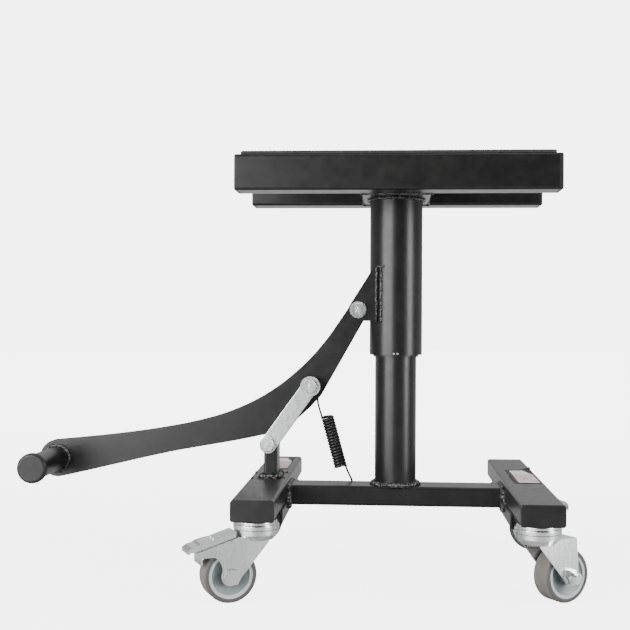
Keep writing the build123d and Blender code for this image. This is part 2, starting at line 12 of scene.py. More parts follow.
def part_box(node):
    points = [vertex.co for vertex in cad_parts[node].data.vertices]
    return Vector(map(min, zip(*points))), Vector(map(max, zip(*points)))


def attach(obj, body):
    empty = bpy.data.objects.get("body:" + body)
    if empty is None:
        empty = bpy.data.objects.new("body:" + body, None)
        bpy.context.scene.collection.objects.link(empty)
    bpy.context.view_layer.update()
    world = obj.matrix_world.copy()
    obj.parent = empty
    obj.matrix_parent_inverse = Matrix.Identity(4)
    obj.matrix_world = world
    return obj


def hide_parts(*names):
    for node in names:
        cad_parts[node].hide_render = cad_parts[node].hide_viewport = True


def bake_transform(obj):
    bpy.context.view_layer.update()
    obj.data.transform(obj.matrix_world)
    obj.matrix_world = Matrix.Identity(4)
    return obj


bl_info = {
    "name": "Lift Stand Looks",
    "version": (1, 0, 0),
    "blender": (4, 5, 0),
    "location": "View3D > Sidebar > Lift Stand",
    "description": "Finishes, spring, welds and small details of a rolling lift stand",
    "category": "Object",
}

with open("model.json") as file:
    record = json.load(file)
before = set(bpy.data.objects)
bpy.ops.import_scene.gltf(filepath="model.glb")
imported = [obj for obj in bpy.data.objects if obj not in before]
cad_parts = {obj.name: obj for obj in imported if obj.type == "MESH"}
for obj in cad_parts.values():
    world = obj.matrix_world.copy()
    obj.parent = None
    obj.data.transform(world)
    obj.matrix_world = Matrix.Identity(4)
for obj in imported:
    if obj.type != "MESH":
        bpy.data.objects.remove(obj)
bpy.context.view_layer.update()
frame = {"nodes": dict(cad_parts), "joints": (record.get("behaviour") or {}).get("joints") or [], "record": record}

MM = 0.001
column_lo, column_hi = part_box("column_tube")
COLUMN_X = (column_lo.x + column_hi.x) / 2
CORNERS = ("front_left", "front_right", "rear_left", "rear_right")
BRAKED = ("front_left", "rear_right")
JOINTS = {j["name"]: j for j in frame["joints"]}

# places on the stand, in millimetres from the column axis: X and Z, or X alone
LEVER_PIVOT = (-38.4, 268.5)
LINK_HEAD = (-86.9, 190.0)
LINK_FOOT = (-130.0, 130.0)
POST_X = -127.8
CROSS_BAR_END = 108.4
SPACER_Y = 10.2
PEDAL_STUDS = ((36.0, 60.2), (42.0, 59.0), (48.0, 57.4), (54.0, 55.4))


def at(x, y, z):
    """A point given in millimetres from the column axis, in metres in the shared frame."""
    return Vector((COLUMN_X + x * MM, y * MM, z * MM))


def wheel_place(corner):
    """Centre of a wheel, and the turn about Z that brings X along its trail."""
    lo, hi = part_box("tyre_" + corner)
    axis = JOINTS["wheel_" + corner + "_roll"]["axis"]
    return (lo + hi) / 2, math.atan2(axis[0], -axis[1])


def wheel_frame(corner):
    """Matrix from the caster's own millimetres (along the trail, sideways, up) to the shared frame."""
    swivel = Vector(JOINTS["swivel_" + corner + "_turn"]["pos_m"])
    turn = wheel_place(corner)[1]
    return Matrix.Translation((swivel.x, swivel.y, 0)) @ Matrix.Rotation(turn, 4, "Z") @ Matrix.Scale(MM, 4)


# ------------------------------------------------------------------ sizes and colours

class StandColours(bpy.types.PropertyGroup):
    """Colours of the stand's finishes"""
    coat: bpy.props.FloatVectorProperty(
        name="Powder coat", description="Colour of the black powder coat", default=(0.006, 0.006, 0.0062),
        subtype="COLOR", min=0, max=1
    )
    coat_light: bpy.props.FloatVectorProperty(
        name="Powder coat, thin", description="Colour where the coat is thinner and a little dusty",
        default=(0.011, 0.011, 0.0105), subtype="COLOR", min=0, max=1
    )
    zinc: bpy.props.FloatVectorProperty(
        name="Zinc", description="Colour of the zinc plating", default=(0.96, 0.97, 0.97), subtype="COLOR",
        min=0, max=1
    )
    zinc_dark: bpy.props.FloatVectorProperty(
        name="Zinc, passivated", description="Colour of the duller patches in the plating",
        default=(0.80, 0.82, 0.83), subtype="COLOR", min=0, max=1
    )
    plastic: bpy.props.FloatVectorProperty(
        name="Black plastic", description="Colour of the moulded caps", default=(0.009, 0.009, 0.009),
        subtype="COLOR", min=0, max=1
    )
    rubber: bpy.props.FloatVectorProperty(
        name="Black rubber", description="Colour of the platform strips", default=(0.010, 0.010, 0.010),
        subtype="COLOR", min=0, max=1
    )
    tread: bpy.props.FloatVectorProperty(
        name="Tread", description="Colour of the wheel tread", default=(0.150, 0.140, 0.125), subtype="COLOR",
        min=0, max=1
    )
    tread_side: bpy.props.FloatVectorProperty(
        name="Tread side", description="Colour of the tread's flat sides", default=(0.085, 0.083, 0.078),
        subtype="COLOR", min=0, max=1
    )
    hub: bpy.props.FloatVectorProperty(
        name="Hub", description="Colour of the wheel hub", default=(0.21, 0.245, 0.25), subtype="COLOR",
        min=0, max=1
    )
    # Painted highlight: a paler colour on the hub's rim that stands in for the light it catches.
    hub_rim_highlight: bpy.props.FloatVectorProperty(
        name="Hub rim", description="Colour of the polished rim of the hub", default=(0.52, 0.56, 0.58),
        subtype="COLOR", min=0, max=1
    )
    print_tint: bpy.props.FloatVectorProperty(
        name="Label print", description="Colour of the faded print on the labels", default=(0.60, 0.10, 0.11),
        subtype="COLOR", min=0, max=1
    )
    floor: bpy.props.FloatVectorProperty(
        name="Floor", description="Colour of the studio floor", default=(0.44, 0.44, 0.44), subtype="COLOR",
        min=0, max=1
    )


class StandSizes(bpy.types.PropertyGroup):
    """Sizes of the modelled details"""
    spring_wire: bpy.props.FloatProperty(
        name="Spring wire", description="Diameter of the return spring's wire", default=3.1 * MM,
        unit="LENGTH"
    )
    spring_width: bpy.props.FloatProperty(
        name="Spring width", description="Outer diameter of the return spring's coil", default=14.0 * MM,
        unit="LENGTH"
    )
    spring_turns: bpy.props.IntProperty(
        name="Spring turns", description="Number of turns in the coil", default=17, min=3
    )
    bead: bpy.props.FloatProperty(
        name="Weld bead", description="Radius of a usual weld bead", default=2.0 * MM, unit="LENGTH"
    )
    bead_voxel: bpy.props.FloatProperty(
        name="Weld grain", description="Fineness at which the ripples of a bead are melted together",
        default=0.45 * MM, unit="LENGTH"
    )
    label_width: bpy.props.FloatProperty(
        name="Label width", description="Width of the labels on the rails", default=26.0 * MM, unit="LENGTH"
    )
    label_length: bpy.props.FloatProperty(
        name="Label length", description="Length of the labels on the rails", default=100.0 * MM,
        unit="LENGTH"
    )
    label_lift: bpy.props.FloatProperty(
        name="Label curl", description="How far the loose corner of a label stands up", default=2.4 * MM,
        unit="LENGTH"
    )


class StudioSettings(bpy.types.PropertyGroup):
    """Camera and lights"""
    lens: bpy.props.FloatProperty(
        name="Lens", description="Focal length of the camera in millimetres", default=62.6
    )
    camera_yaw: bpy.props.FloatProperty(
        name="Camera turn", description="Turn of the camera about the vertical", default=-0.0657,
        subtype="ANGLE"
    )
    camera_pitch: bpy.props.FloatProperty(
        name="Camera pitch", description="Upward pitch of the camera", default=0.0047, subtype="ANGLE"
    )
    camera_roll: bpy.props.FloatProperty(
        name="Camera roll", description="Roll of the camera", default=0.005, subtype="ANGLE"
    )
    top_power: bpy.props.FloatProperty(
        name="Top light", description="Power of the overhead softbox", default=9.0, unit="POWER"
    )
    side_power: bpy.props.FloatProperty(
        name="Side lights", description="Power of each side softbox", default=27.0, unit="POWER"
    )
    back_power: bpy.props.FloatProperty(
        name="Back light", description="Power of the light behind the stand", default=3.0, unit="POWER"
    )
    surround: bpy.props.FloatProperty(
        name="Surround", description="Brightness of the white surround", default=1.0, min=0
    )


# ------------------------------------------------------------------ node helpers

def new_material(name, roughness, metallic=0.0):
    """A material with an empty tree apart from its output and shader."""
    material = bpy.data.materials.new(name)
    material.use_nodes = True
    tree = material.node_tree
    tree.nodes.clear()
    output = tree.nodes.new("ShaderNodeOutputMaterial")
    shader = tree.nodes.new("ShaderNodeBsdfPrincipled")
    tree.links.new(shader.outputs["BSDF"], output.inputs["Surface"])
    shader.inputs["Roughness"].default_value = roughness
    shader.inputs["Metallic"].default_value = metallic
    return material, tree, shader


def object_coords(tree, place=None, turn=0.0, stretch=(1, 1, 1)):
    """Object coordinates, centred and turned for a pattern where that is asked for."""
    source = tree.nodes.new("ShaderNodeTexCoord").outputs["Object"]
    if place is None and stretch == (1, 1, 1):
        return source
    mapping = tree.nodes.new("ShaderNodeMapping")
    mapping.vector_type = "TEXTURE"
    mapping.inputs["Location"].default_value = place or (0, 0, 0)
    mapping.inputs["Rotation"].default_value = (0, 0, turn)
    mapping.inputs["Scale"].default_value = stretch
    tree.links.new(source, mapping.inputs["Vector"])
    return mapping.outputs["Vector"]


def noise(tree, vector, scale, detail=4.0, rough=0.55):
    node = tree.nodes.new("ShaderNodeTexNoise")
    node.inputs["Scale"].default_value = scale
    node.inputs["Detail"].default_value = detail
    node.inputs["Roughness"].default_value = rough
    tree.links.new(vector, node.inputs["Vector"])
    return node.outputs["Fac"]


def spread(tree, value, low, high, from_low=0.3, from_high=0.7):
    """A value stretched onto a range."""
    node = tree.nodes.new("ShaderNodeMapRange")
    node.inputs["From Min"].default_value = from_low
    node.inputs["From Max"].default_value = from_high
    node.inputs["To Min"].default_value = low
    node.inputs["To Max"].default_value = high
    tree.links.new(value, node.inputs["Value"])
    return node.outputs["Result"]


def calc(tree, operation, first, second=None):
    node = tree.nodes.new("ShaderNodeMath")
    node.operation = operation
    for socket, value in zip(node.inputs, (first, second)):
        if value is None:
            continue
        if isinstance(value, (int, float)):
            socket.default_value = value
        else:
            tree.links.new(value, socket)
    return node.outputs["Value"]


def blend_colours(tree, factor, first, second):
    node = tree.nodes.new("ShaderNodeMix")
    node.data_type = "RGBA"
    tree.links.new(factor, node.inputs["Factor"])
    for index, value in ((6, first), (7, second)):
        if hasattr(value, "node"):
            tree.links.new(value, node.inputs[index])
        else:
            node.inputs[index].default_value = (*value, 1.0)
    return node.outputs[2]


def bump(tree, shader, height, strength, distance):
    node = tree.nodes.new("ShaderNodeBump")
    node.inputs["Strength"].default_value = strength
    node.inputs["Distance"].default_value = distance
    tree.links.new(height, node.inputs["Height"])
    tree.links.new(node.outputs["Normal"], shader.inputs["Normal"])
    return node


def axes(tree, vector):
    node = tree.nodes.new("ShaderNodeSeparateXYZ")
    tree.links.new(vector, node.inputs["Vector"])
    return node.outputs


def wheel_radius(tree, parts):
    """Distance from the wheel's axle, in metres, from its own coordinates."""
    return calc(
        tree, "SQRT",
        calc(
            tree, "ADD", calc(tree, "MULTIPLY", parts["X"], parts["X"]),
            calc(tree, "MULTIPLY", parts["Z"], parts["Z"])
        )
    )


# ------------------------------------------------------------------ finishes

def powder_coat(colours):
    """Satin black powder coat with a fine orange peel and a little dust."""
    material, tree, shader = new_material("black_powder_coat", 0.33)
    shader.inputs["Specular IOR Level"].default_value = 0.42
    vector = object_coords(tree)
    tree.links.new(
        blend_colours(
            tree, spread(tree, noise(tree, vector, 38, 6, 0.62), 0, 1, 0.42, 0.68), colours.coat,
            colours.coat_light
        ),
        shader.inputs["Base Color"]
    )
    tree.links.new(spread(tree, noise(tree, vector, 140, 5), 0.28, 0.36), shader.inputs["Roughness"])
    bump(tree, shader, noise(tree, vector, 900, 3, 0.5), 0.10, 0.0004)
    return material


def welded_coat(colours):
    """The same coat over rippled weld metal, thicker and glossier in its hollows; its paler random patches are painted
    highlights.
    """
    material, tree, shader = new_material("coated_weld", 0.27)
    vector = object_coords(tree)
    # Painted highlight: the paler grey mixed in by noise stands in for the glints on the bead ripples.
    tree.links.new(
        blend_colours(
            tree, spread(tree, noise(tree, vector, 260, 4), 0, 1, 0.45, 0.66), colours.coat_light,
            (0.075, 0.075, 0.076)
        ),
        shader.inputs["Base Color"]
    )
    tree.links.new(spread(tree, noise(tree, vector, 400, 3), 0.14, 0.30), shader.inputs["Roughness"])
    bump(tree, shader, noise(tree, vector, 520, 5, 0.6), 0.35, 0.0005)
    return material


def zinc_plate(colours):
    """Bright zinc plating with drawn streaks and duller passivated patches."""
    material, tree, shader = new_material("zinc_plate", 0.30, 1.0)
    vector = object_coords(tree)
    streaks = noise(tree, object_coords(tree, stretch=(1.0, 1.0, 5.0)), 300, 3, 0.5)
    patches = noise(tree, vector, 30, 3, 0.5)
    tree.links.new(
        blend_colours(tree, spread(tree, patches, 0, 1, 0.38, 0.72), colours.zinc, colours.zinc_dark),
        shader.inputs["Base Color"]
    )
    tree.links.new(
        spread(
            tree,
            calc(tree, "ADD", calc(tree, "MULTIPLY", streaks, 0.6), calc(tree, "MULTIPLY", patches, 0.4)),
            0.22, 0.31, 0.35, 0.65
        ),
        shader.inputs["Roughness"]
    )
    bump(tree, shader, noise(tree, vector, 500, 2, 0.4), 0.03, 0.0001)
    return material


def moulded_plastic(name, colour, pale, roughness):
    """Moulded plastic with a fine spark-eroded grain."""
    material, tree, shader = new_material(name, roughness)
    shader.inputs["Specular IOR Level"].default_value = 0.35
    vector = object_coords(tree)
    tree.links.new(
        blend_colours(tree, spread(tree, noise(tree, vector, 55, 4), 0, 1, 0.42, 0.68), colour, pale),
        shader.inputs["Base Color"]
    )
    tree.links.new(
        spread(tree, noise(tree, vector, 160, 4), roughness - 0.06, roughness + 0.08),
        shader.inputs["Roughness"]
    )
    bump(tree, shader, noise(tree, vector, 1500, 2, 0.5), 0.16, 0.0003)
    return material


def black_rubber(colours):
    """Matt rubber strip with a fine cloth-like grain."""
    material, tree, shader = new_material("black_rubber", 0.72)
    vector = object_coords(tree)
    tree.links.new(
        blend_colours(
            tree, spread(tree, noise(tree, vector, 120, 5), 0, 1, 0.42, 0.66), colours.rubber,
            (0.022, 0.022, 0.022)
        ),
        shader.inputs["Base Color"]
    )
    tree.links.new(spread(tree, noise(tree, vector, 60, 4), 0.62, 0.82), shader.inputs["Roughness"])
    grain = tree.nodes.new("ShaderNodeTexVoronoi")
    grain.inputs["Scale"].default_value = 900
    tree.links.new(vector, grain.inputs["Vector"])
    bump(tree, shader, grain.outputs["Distance"], 0.25, 0.0003)
    return material


def wheel_tread(colours, corner):
    """Grey-brown tread: paler band where it rolls, darker flat sides, faint moulding rings."""
    centre, turn = wheel_place(corner)
    material, tree, shader = new_material("grey_tread_" + corner, 0.55)
    vector = object_coords(tree, centre, turn)
    parts = axes(tree, vector)
    radius = wheel_radius(tree, parts)
    side = spread(tree, calc(tree, "ABSOLUTE", parts["Y"]), 0, 1, 0.0082, 0.0096)
    scuff = spread(tree, noise(tree, vector, 130, 6, 0.65), 0, 1, 0.45, 0.70)
    rolled = blend_colours(tree, scuff, colours.tread, (0.185, 0.175, 0.160))
    tree.links.new(blend_colours(tree, side, rolled, colours.tread_side), shader.inputs["Base Color"])
    tree.links.new(spread(tree, noise(tree, vector, 210, 4), 0.46, 0.68), shader.inputs["Roughness"])
    rings = calc(tree, "MULTIPLY", calc(tree, "SINE", calc(tree, "MULTIPLY", parts["Y"], 5200.0)), 0.35)
    side_rings = calc(tree, "MULTIPLY", calc(tree, "SINE", calc(tree, "MULTIPLY", radius, 6500.0)), 0.25)
    height = calc(tree, "ADD", calc(tree, "ADD", rings, side_rings), noise(tree, vector, 900, 3))
    bump(tree, shader, height, 0.14, 0.0003)
    return material


def wheel_hub(colours, corner):
    """Blue-grey moulded hub with a painted highlight on its rim, painted shade darkening the dish towards its centre,
    and flow lines round the dish.
    """
    centre, turn = wheel_place(corner)
    material, tree, shader = new_material("grey_hub_" + corner, 0.38)
    vector = object_coords(tree, centre, turn)
    parts = axes(tree, vector)
    radius = wheel_radius(tree, parts)
    # Painted highlight: past this radius the hub takes the paler rim colour.
    rim = spread(tree, radius, 0, 1, 0.0174, 0.0180)
    # Painted shade: the dish darkens towards its centre, standing in for the shadow inside the recessed dish.
    dish = blend_colours(tree, spread(tree, radius, 0, 1, 0.006, 0.0175), (0.085, 0.105, 0.108), colours.hub)
    speckled = blend_colours(
        tree, spread(tree, noise(tree, vector, 300, 5, 0.6), 0, 0.35, 0.45, 0.70), dish, (0.22, 0.25, 0.26)
    )
    tree.links.new(blend_colours(tree, rim, speckled, colours.hub_rim_highlight), shader.inputs["Base Color"])
    tree.links.new(spread(tree, noise(tree, vector, 240, 4), 0.30, 0.48), shader.inputs["Roughness"])
    flow = calc(tree, "MULTIPLY", calc(tree, "SINE", calc(tree, "MULTIPLY", radius, 5200.0)), 0.3)
    bump(tree, shader, calc(tree, "ADD", flow, noise(tree, vector, 700, 3)), 0.10, 0.0003)
    return material


def label_film(colours, name, corner_point, width, length):
    """Textless film label: clear dark border, white field with rows of faded blocks; the wide dark band along the left
    edge is partly clear film and partly painted shade of the lifted edge.
    """
    material, tree, shader = new_material(name, 0.45)
    shader.inputs["Specular IOR Level"].default_value = 0.2
    vector = object_coords(tree, corner_point)
    parts = axes(tree, vector)
    across = calc(tree, "DIVIDE", parts["X"], width)
    along = calc(tree, "DIVIDE", parts["Y"], length)
    # Painted shade, in part: the dark band is wider along the left edge, where it also stands in for the shadow of the
    # curled-up edge.
    inside_x = calc(
        tree, "MULTIPLY", calc(tree, "GREATER_THAN", across, 0.16), calc(tree, "LESS_THAN", across, 0.97)
    )
    inside_y = calc(
        tree, "MULTIPLY", calc(tree, "GREATER_THAN", along, 0.05), calc(tree, "LESS_THAN", along, 0.93)
    )
    folded = calc(tree, "LESS_THAN", calc(tree, "ADD", across, along), 1.60)
    field = calc(tree, "MULTIPLY", calc(tree, "MULTIPLY", inside_x, inside_y), folded)
    bricks = tree.nodes.new("ShaderNodeTexBrick")
    bricks.inputs["Scale"].default_value = 70
    bricks.inputs["Mortar Size"].default_value = 0.05
    bricks.inputs["Color1"].default_value = (*colours.print_tint, 1)
    bricks.inputs["Color2"].default_value = (0.70, 0.32, 0.32, 1)
    bricks.inputs["Mortar"].default_value = (0.82, 0.82, 0.82, 1)
    tree.links.new(vector, bricks.inputs["Vector"])
    printed = calc(
        tree, "MULTIPLY", spread(tree, noise(tree, vector, 95, 3), 0.35, 1.0, 0.38, 0.54),
        calc(tree, "LESS_THAN", along, 0.66)
    )
    white = blend_colours(tree, printed, (0.86, 0.86, 0.86), bricks.outputs["Color"])
    tree.links.new(blend_colours(tree, field, (0.012, 0.012, 0.012), white), shader.inputs["Base Color"])
    tree.links.new(spread(tree, noise(tree, vector, 150, 4), 0.38, 0.55), shader.inputs["Roughness"])
    bump(tree, shader, noise(tree, vector, 60, 4), 0.2, 0.0008)
    return material


# ------------------------------------------------------------------ mesh helpers

def add_piece(name, bm, material, body):
    """Makes a piece of a bmesh, smooth shaded, on its body."""
    mesh = bpy.data.meshes.new(name)
    bm.to_mesh(mesh)
    bm.free()
    mesh.materials.append(material)
    mesh.shade_smooth()
    piece = bpy.data.objects.new(name, mesh)
    bpy.context.scene.collection.objects.link(piece)
    if body:
        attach(piece, body)
    return piece


def melt(name, bm, voxel):
    """Melts overlapping blobs into one skin and smooths it."""
    mesh = bpy.data.meshes.new(name + "_raw")
    bm.to_mesh(mesh)
    bm.free()
    raw = bpy.data.objects.new(name + "_raw", mesh)
    bpy.context.scene.collection.objects.link(raw)
    remesh = raw.modifiers.new("melt", "REMESH")
    remesh.mode = "VOXEL"
    remesh.voxel_size = voxel
    smooth = raw.modifiers.new("settle", "SMOOTH")
    smooth.factor = 0.5
    smooth.iterations = 2
    bpy.context.view_layer.update()
    melted = bpy.data.meshes.new_from_object(raw.evaluated_get(bpy.context.evaluated_depsgraph_get()))
    skin = bmesh.new()
    skin.from_mesh(melted)
    bpy.data.objects.remove(raw)
    bpy.data.meshes.remove(mesh)
    bpy.data.meshes.remove(melted)
    return skin


def lay_bead(bm, points, radius, rng, close=False, squash=0.75):
    """Lays the ripples of a weld bead along a line of points."""
    points = [Vector(p) for p in points]
    if close:
        points.append(points[0])
    pitch = radius * 0.60
    for start, end in zip(points, points[1:]):
        run = end - start
        count = max(1, round(run.length / pitch))
        along = run.normalized()
        turned = along.to_track_quat("X", "Z").to_matrix().to_4x4()
        for step in range(count):
            wander = Vector([rng.uniform(-0.18, 0.18) * radius for _ in range(3)])
            place = start + run * ((step + 0.5) / count) + wander
            size = radius * rng.uniform(0.80, 1.22)
            bmesh.ops.create_icosphere(
                bm, subdivisions=2, radius=size,
                matrix=Matrix.Translation(place) @ turned @ Matrix.Diagonal((0.70, 1.0, squash, 1.0))
            )


def ring_points(centre, radius, normal="Z", count=48, start=0.0, sweep=2 * math.pi):
    """Points round a circle about a vertical or a front-to-back axis."""
    out = []
    for step in range(count):
        angle = start + sweep * step / (count if sweep > 6.28 else count - 1)
        if normal == "Z":
            out.append(centre + Vector((radius * math.cos(angle), radius * math.sin(angle), 0)))
        else:
            out.append(centre + Vector((radius * math.cos(angle), 0, radius * math.sin(angle))))
    return out


def wire(points, radius):
    """A round wire along a smooth line, as a mesh."""
    curve = bpy.data.curves.new("wire_line", "CURVE")
    curve.dimensions = "3D"
    curve.bevel_depth = radius
    curve.bevel_resolution = 4
    curve.resolution_u = 10
    curve.use_fill_caps = True
    spline = curve.splines.new("NURBS")
    spline.points.add(len(points) - 1)
    for knot, place in zip(spline.points, points):
        knot.co = (*place, 1.0)
    spline.order_u = 3
    spline.use_endpoint_u = True
    holder = bpy.data.objects.new("wire_line", curve)
    mesh = bpy.data.meshes.new_from_object(holder)
    bpy.data.objects.remove(holder)
    bpy.data.curves.remove(curve)
    return mesh


def need(material_name):
    """A finish that the finishes step has made."""
    material = bpy.data.materials.get(material_name)
    if material is None:
        raise RuntimeError("make the finishes first: there is no " + material_name)
    return material


# ------------------------------------------------------------------ operators

class STAND_OT_finishes(bpy.types.Operator):
    """Makes the finishes and gives every solid of the stand its own"""
    bl_idname = "lift_stand.finishes"
    bl_label = "Finishes"

    def execute(self, context):
        colours = context.scene.stand_colours
        finishes = {
            "black_powder_coat": powder_coat(colours),
            "zinc_plate": zinc_plate(colours),
            "black_plastic": moulded_plastic("black_plastic", colours.plastic, (0.016, 0.016, 0.016), 0.42),
            "black_rubber": black_rubber(colours),
            "bush_plastic": moulded_plastic("bush_plastic", (0.016, 0.016, 0.017), (0.03, 0.03, 0.03), 0.34),
            "spring_steel": moulded_plastic(
                "spring_steel", (0.008, 0.008, 0.008), (0.016, 0.016, 0.016), 0.28
            ),
        }
        welded_coat(colours)
        slots = {part["node"]: part["material_slot"] for part in frame["record"]["subparts"]}
        for name, node in frame["nodes"].items():
            slot = slots.get(name)
            corner = next((c for c in CORNERS if name.endswith(c)), None)
            if slot == "grey_tread":
                finish = wheel_tread(colours, corner)
            elif slot == "grey_hub":
                finish = wheel_hub(colours, corner)
            elif slot in finishes:
                finish = finishes[slot]
            else:
                raise RuntimeError("no finish for " + name)
            if not node.material_slots:
                raise RuntimeError(name + " has no material slot")
            for material_slot in node.material_slots:
                material_slot.material = finish
        return {"FINISHED"}


class STAND_OT_spring(bpy.types.Operator):
    """Winds the return spring between the upper link joint and the cross bar"""
    bl_idname = "lift_stand.spring"
    bl_label = "Return spring"

    def execute(self, context):
        sizes = context.scene.stand_sizes
        top, bottom = at(-71.5, 11.6, 158.0), at(-56.5, 16.5, 102.0)
        spacer = at(LINK_HEAD[0], SPACER_Y, LINK_HEAD[1])
        wire_r = sizes.spring_wire / 2
        coil_r = sizes.spring_width / 2 - wire_r
        length = (top - bottom).length
        turns = sizes.spring_turns + 0.5
        steps = round(20 * turns)
        bm = bmesh.new()
        bmesh.ops.create_circle(
            bm, segments=8, radius=wire_r,
            matrix=Matrix.Translation((coil_r, 0, wire_r)) @ Matrix.Rotation(math.pi / 2, 4, "X")
        )
        bmesh.ops.spin(
            bm, geom=bm.verts[:] + bm.edges[:], cent=(0, 0, 0), axis=(0, 0, 1),
            dvec=(0, 0, (length - 2 * wire_r) / steps), angle=2 * math.pi * turns, steps=steps
        )
        bmesh.ops.holes_fill(bm, edges=[e for e in bm.edges if e.is_boundary], sides=0)
        axis = (top - bottom).normalized()
        side = (Vector((1, 0, 0)) - axis * axis.x).normalized()
        turned = Matrix((side, axis.cross(side), axis)).transposed().to_4x4()
        bm.transform(Matrix.Translation(bottom) @ turned)
        hook_radius = 7.8 * MM
        hook_from = math.atan2(-8.5, 6.9) + 0.35
        loop = ring_points(spacer, hook_radius, "Y", 9, hook_from, 4.4)
        upper = [
            top - side * coil_r - axis * wire_r, top - side * coil_r + axis * 1.2 * MM,
            at(-79.4, 10.8, 165.0), at(-81.6, 10.4, 174.0), *loop
        ]
        lower = [
            bottom + side * coil_r + axis * wire_r, bottom + side * coil_r * 0.96 - axis * 0.6 * MM,
            at(-48.6, 19.0, 96.5), at(-46.4, 21.2, 91.5), at(-45.0, 22.5, 88.0), at(-44.0, 22.6, 83.5),
            at(-43.6, 19.6, 81.5)
        ]
        for line in (upper, lower):
            mesh = wire(line, wire_r * 0.70)
            bm.from_mesh(mesh)
            bpy.data.meshes.remove(mesh)
        bmesh.ops.recalc_face_normals(bm, faces=bm.faces[:])
        spring = add_piece("wound_return_spring", bm, need("spring_steel"), None)
        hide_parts("return_spring")
        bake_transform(spring)
        return {"FINISHED"}


class STAND_OT_base_welds(bpy.types.Operator):
    """Lays the weld beads of the base: column foot, post foot, cross bar and lower tubes"""
    bl_idname = "lift_stand.base_welds"
    bl_label = "Base welds"

    def execute(self, context):
        sizes = context.scene.stand_sizes
        coat = need("coated_weld")
        rng = random.Random(11)
        r = sizes.bead
        bm = bmesh.new()
        lay_bead(bm, ring_points(at(0, 0, 90.2), 22.6 * MM, "Z", 30), r * 1.6, rng, close=True, squash=0.9)
        add_piece(
            "weld_column_foot", melt("column_foot", bm, sizes.bead_voxel), coat, "base"
        )
        bm = bmesh.new()
        x0, x1 = POST_X - 8.2, POST_X + 8.2
        lay_bead(
            bm, [at(x0, -16.2, 97.4), at(x1, -16.2, 97.4), at(x1, 16.2, 97.4), at(x0, 16.2, 97.4)], r * 1.6,
            rng, close=True
        )
        for x, y in ((x0, -15.8), (x1, -15.8), (x1, 15.8), (x0, 15.8)):
            bmesh.ops.create_icosphere(
                bm, subdivisions=2, radius=r * 1.8, matrix=Matrix.Translation(at(x, y, 97.6))
            )
        for step in range(34):
            place = at(rng.uniform(-147, -110), rng.choice((-1, 1)) * rng.uniform(17, 24), 96.3)
            bmesh.ops.create_icosphere(
                bm, subdivisions=1, radius=rng.uniform(0.6, 1.7) * MM, matrix=Matrix.Translation(place)
            )
        add_piece(
            "weld_post_foot", melt("post_foot", bm, sizes.bead_voxel), coat, "base"
        )
        for side, name in ((-1, "left"), (1, "right")):
            bm = bmesh.new()
            x = side * CROSS_BAR_END
            for y in (-20.6, 20.6):
                lay_bead(bm, [at(x, y, 67.5), at(x, y, 88.6)], r * 2.3, rng)
                lay_bead(
                    bm, [at(x + side * 1.0, y * 1.12, 70.0), at(x + side * 1.0, y * 1.12, 82.0)], r * 1.3, rng
                )
                lay_bead(
                    bm, [at(side * 109.3, y * 1.02, 73.0), at(side * 109.3, y * 1.75, 76.0)], r * 1.2, rng
                )
            lay_bead(bm, [at(x, -20.4, 89.4), at(x, 20.4, 89.4)], r, rng)
            add_piece(
                "weld_cross_bar_" + name, melt("cross_bar_" + name, bm, sizes.bead_voxel), coat, "base",
            )
        return {"FINISHED"}


class STAND_OT_platform_welds(bpy.types.Operator):
    """Lays the weld beads of the platform: brackets, sleeve head and cross tubes"""
    bl_idname = "lift_stand.platform_welds"
    bl_label = "Platform welds"

    def execute(self, context):
        sizes = context.scene.stand_sizes
        coat = need("coated_weld")
        rng = random.Random(23)
        r = sizes.bead
        bm = bmesh.new()
        for side in (-1, 1):
            lay_bead(bm, [at(-19.9, side * 19.7, 256.5), at(-19.9, side * 19.7, 311.5)], r * 1.1, rng)
            lay_bead(bm, [at(-15.6, side * 22.6, 255.5), at(-15.6, side * 22.6, 312.5)], r * 0.80, rng)
            lay_bead(bm, [at(-19.0, side * 20.0, 312.2), at(-11.5, side * 24.0, 312.2)], r * 0.85, rng)
        add_piece(
            "weld_brackets", melt("brackets", bm, sizes.bead_voxel), coat, "platform"
        )
        bm = bmesh.new()
        lay_bead(bm, ring_points(at(0, 0, 381.6), 28.0 * MM, "Z", 34), r, rng, close=True)
        add_piece(
            "weld_sleeve_head", melt("sleeve_head", bm, sizes.bead_voxel), coat, "platform",
        )
        bm = bmesh.new()
        for y in (-53.6, 53.6):
            for x in (-35.4, 35.4):
                lay_bead(bm, [at(x, y, 384.5), at(x, y, 415.5)], r * 0.9, rng)
                bmesh.ops.create_icosphere(
                    bm, subdivisions=2, radius=r * 1.3, matrix=Matrix.Translation(at(x * 0.97, y, 383.6))
                )
            lay_bead(bm, [at(-34.5, y, 382.4), at(34.5, y, 382.4)], r * 0.8, rng)
            lay_bead(bm, [at(-34.5, y, 417.4), at(34.5, y, 417.4)], r * 0.7, rng)
        add_piece(
            "weld_cross_tubes", melt("cross_tubes", bm, sizes.bead_voxel), coat, "platform",
        )
        return {"FINISHED"}


